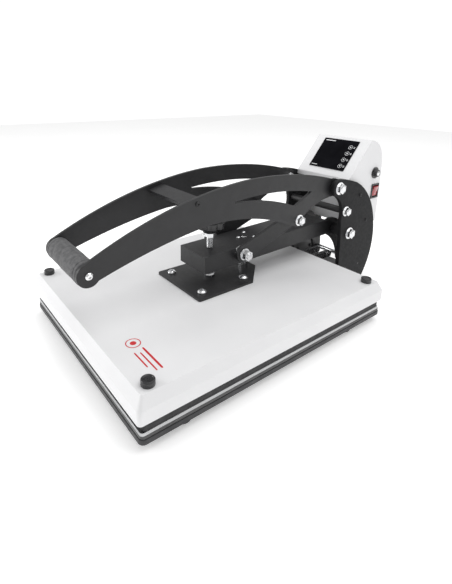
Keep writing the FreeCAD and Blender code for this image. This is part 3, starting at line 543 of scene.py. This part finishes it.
def make_knob():
    """Star knob: a turned profile whose radius is cut by b (0.5 + 0.5 cos n angle)^2 outside the
    hub, with b the depth of a bite as a share of the radius and n the number of lobes."""
    low, high = (np.array(corner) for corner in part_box("pressure_knob"))
    centre = np.array([(low[0] + high[0]) / 2, middle("pressure_screw")[1], low[2]])
    radius = (high[0] - low[0]) / 2
    tall = high[2] - low[2]
    lower = np.array([(0, POINT), (0, 12.4 * MM), (0.7 * MM, 13.3 * MM),
                      (KNOB_NECK - 0.8 * MM, 13.5 * MM), (KNOB_NECK, 14.6 * MM),
                      (KNOB_NECK, radius - 2 * MM), (KNOB_NECK + 0.6 * MM, radius - 0.6 * MM),
                      (KNOB_NECK + 2 * MM, radius)])
    rim_top = tall - KNOB_BUTTON
    bend = np.linspace(0, math.pi / 2, 14)
    shoulder = np.stack([rim_top - KNOB_CORNER + KNOB_CORNER * np.sin(bend),
                         radius - KNOB_CORNER * (1 - np.cos(bend))], axis=1)
    button = np.array([(0.3 * MM, radius - 7 * MM), (0.6 * MM, 14 * MM), (0.2 * MM, 12.6 * MM),
                       (0.9 * MM, 11.8 * MM), (1.5 * MM, 8 * MM), (KNOB_BUTTON, POINT)])
    button[:, 0] += rim_top
    along, reach = np.concatenate([lower, shoulder, button]).T
    angle = np.linspace(0, TURN, KNOB_SIDES, endpoint=False)
    bite = KNOB_BITE * (0.5 + 0.5 * np.cos(KNOB_LOBES * angle)) ** 2
    share = smooth_step(14.8 * MM, 19 * MM, reach)
    radii = reach[:, None] * (1 - share[:, None] * bite[None, :])
    points = turned(along, radii, centre, "z", KNOB_SIDES)
    knob = add_piece("star_knob", points, grid_faces(len(along), KNOB_SIDES, True),
                     finishes["black_plastic"], "knob")
    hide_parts("pressure_knob")


make_thread()
make_knob()


# ---- printed marks ---------------------------------------------------------

FACE_ANGLE = math.radians(48.7)
FACE_LOW = np.array([317 * MM + PLATEN_Y, 241 * MM])
MARK_RINGS = 3
MARK_SIDES = 48


def rounded_patch(centre, half, power, hole, at):
    """Flat mark: rings of the curve |x / a|^p + |y / b|^p = 1 from the hole's edge to the rim, laid on
    a face by the function at, which turns (x, y) pairs into points."""
    angle = np.linspace(0, TURN, MARK_SIDES, endpoint=False)
    cos, sin = np.cos(angle), np.sin(angle)
    rim = (np.abs(cos) ** power + np.abs(sin) ** power) ** (-1 / power)
    share = np.linspace(max(hole, 0.001), 1, MARK_RINGS)[:, None]
    flat = np.stack([centre[0] + half[0] * rim * cos * share,
                     centre[1] + half[1] * rim * sin * share], axis=-1).reshape(-1, 2)
    return at(flat)


def make_marks(name, marks, at, finish, body):
    """All marks of one print in one mesh."""
    points = np.concatenate([rounded_patch(*mark, at) for mark in marks])
    each = MARK_RINGS * MARK_SIDES
    faces = np.concatenate([grid_faces(MARK_RINGS, MARK_SIDES, True, each * index)
                            for index in range(len(marks))])
    return add_piece(name, points, faces[:, ::-1], finish, body)


def on_glass(flat):
    """Across and up the slope of the display, just above its glass."""
    lift = 1.68 * MM
    y = FACE_LOW[0] + flat[:, 1] * math.cos(FACE_ANGLE) - lift * math.sin(FACE_ANGLE)
    z = FACE_LOW[1] + flat[:, 1] * math.sin(FACE_ANGLE) + lift * math.cos(FACE_ANGLE)
    return np.stack([flat[:, 0], y, z], axis=1)


def on_cover(flat):
    """On the cover's flat top."""
    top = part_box("top_cover")[1][2] + 0.06 * MM
    return np.stack([flat[:, 0], flat[:, 1] + PLATEN_Y, np.full(len(flat), top)], axis=1)


def on_rocker(flat):
    """On the rocker's tilted front, just clear of it."""
    centre = middle("switch_rocker")
    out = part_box("switch_rocker")[1][0] - 2.2 * MM + flat[:, 1] * 0.19
    return np.stack([out, centre[1] + flat[:, 0], centre[2] + flat[:, 1]], axis=1)


def millimetres(marks):
    """The marks' places and sizes in metres."""
    return [(np.array(centre) * MM, np.array(half) * MM, power, hole)
            for centre, half, power, hole in marks]


TOUCH_KEYS = [27, 43.5, 60, 76.5]
screen = [((31, up), (5, 5), 2, 0.86) for up in TOUCH_KEYS]
screen += [((31, up), (1.6, 1.6), 2, 0) for up in TOUCH_KEYS]
screen += [((40, up + rise), (2, 0.55), 4, 0) for up in TOUCH_KEYS for rise in (-1.2, 1.2)]
screen += [((-26, 88), (13, 1), 6, 0), ((-33, 21), (7.5, 0.8), 6, 0)]
make_marks("screen_print", millimetres(screen), on_glass, print_white(), "base")

badge = [((101, -206), (11, 11), 2, 0.86), ((101, -206), (4.5, 4.5), 2, 0),
         ((143, -200), (26, 1.6), 6, 0), ((147, -208), (22, 1.1), 6, 0), ((139, -215), (18, 1.1), 6, 0)]
make_marks("cover_badge", millimetres(badge), on_cover, print_red(), "head")

rocker_signs = [((0, -6), (0.35, 1.6), 5, 0), ((0, 5.8), (1.6, 1.6), 2, 0.75)]
make_marks("rocker_signs", millimetres(rocker_signs), on_rocker, print_white(), "switch")


# ---- small metal ends ------------------------------------------------------


DOME_RINGS = 14
DOME_SIDES = 48


def make_dome(name, centre, radius, rise, body):
    """Shallow dome along X: height = rise cos(pi r / 2 R), closed on the axis."""
    share = np.linspace(0, 1, DOME_RINGS)
    along = rise * np.cos(share * math.pi / 2)
    reach = np.maximum(radius * share, POINT)
    points = turned(along, reach, centre, "x", DOME_SIDES)
    add_piece(name, points, grid_faces(DOME_RINGS, DOME_SIDES, True)[:, ::-1],
              finishes["zinc_steel"], body)


fuse_centre = middle("fuse_holder")
fuse_centre[0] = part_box("fuse_holder")[1][0] - 0.05 * MM
make_dome("fuse_contact", fuse_centre, 5.4 * MM, 1.1 * MM, "base")


# ---- studio ----------------------------------------------------------------


def make_floor():
    """Pale floor: a plain level sheet eight metres across, just under the feet, that glows a
    little so that it stays white away from the lights."""
    side = np.linspace(-4, 4, 9)
    x, y = np.meshgrid(side, side, indexing="ij")
    points = np.stack([x.ravel(), y.ravel(), np.full(x.size, -0.0002)], axis=1)
    mesh = bpy.data.meshes.new("floor")
    mesh.from_pydata(points.tolist(), [], grid_faces(9, 9, False)[:, ::-1].tolist())
    f = Finish("floor_paper", (0.93, 0.93, 0.93), 0.9)
    f.colours(f.noise(3, 3), (0.92, 0.92, 0.92), (0.94, 0.94, 0.94))
    f.shader.inputs["Emission Color"].default_value = (1, 1, 1, 1)
    f.shader.inputs["Emission Strength"].default_value = 0.33
    mesh.materials.append(f.material)
    floor = bpy.data.objects.new("floor", mesh)
    bpy.context.scene.collection.objects.link(floor)


def make_light(name, place, aim, size, power):
    """A square softbox that looks at the aim."""
    light = bpy.data.lights.new(name, "AREA")
    light.shape = "SQUARE"
    light.size = size
    light.energy = power
    lamp = bpy.data.objects.new(name, light)
    lamp.location = place
    lamp.rotation_euler = (Vector(aim) - Vector(place)).to_track_quat("-Z", "Y").to_euler()
    bpy.context.scene.collection.objects.link(lamp)


def make_world(glow, backdrop):
    """White surroundings that light the press with the glow and show as the backdrop's white."""
    world = bpy.data.worlds.new("studio")
    world.use_nodes = True
    nodes, links = world.node_tree.nodes, world.node_tree.links
    seen = nodes.new("ShaderNodeLightPath").outputs["Is Camera Ray"]
    strength = nodes.new("ShaderNodeMapRange")
    strength.inputs["To Min"].default_value = glow
    strength.inputs["To Max"].default_value = backdrop
    links.new(seen, strength.inputs["Value"])
    links.new(strength.outputs["Result"], nodes["Background"].inputs["Strength"])
    nodes["Background"].inputs["Color"].default_value = (1, 1, 1, 1)
    bpy.context.scene.world = world


def make_camera():
    """Camera with a slight roll, looking down on the press from its front right."""
    turn, rise, roll = (math.radians(value) for value in (52.604, 16.699, 0.923))
    back = Vector((math.sin(turn) * math.cos(rise), -math.cos(turn) * math.cos(rise), math.sin(rise)))
    right = Vector((math.cos(turn), math.sin(turn), 0.0))
    up = back.cross(right)
    side = right * math.cos(roll) + up * math.sin(roll)
    over = up * math.cos(roll) - right * math.sin(roll)
    lens = bpy.data.cameras.new("camera")
    lens.lens = 25.41
    lens.sensor_width = 36
    lens.shift_x = 0.0394
    lens.shift_y = -0.1449
    camera = bpy.data.objects.new("camera", lens)
    camera.matrix_world = Matrix.Translation((0.54907, -0.43049 + PLATEN_Y, 0.42707)) @ Matrix(
        (side, over, back)).transposed().to_4x4()
    bpy.context.scene.collection.objects.link(camera)
    bpy.context.scene.camera = camera


make_floor()
make_world(0.6, 1.05)
make_light("front softbox", (-1.5, -1.9, 0.9), (0, 0, 0.12), 1.3, 21)
make_light("top softbox", (0.3, 0.5, 2.2), (0, 0, 0.1), 2.4, 31)
make_camera()
bpy.context.scene.view_settings.view_transform = "Standard"
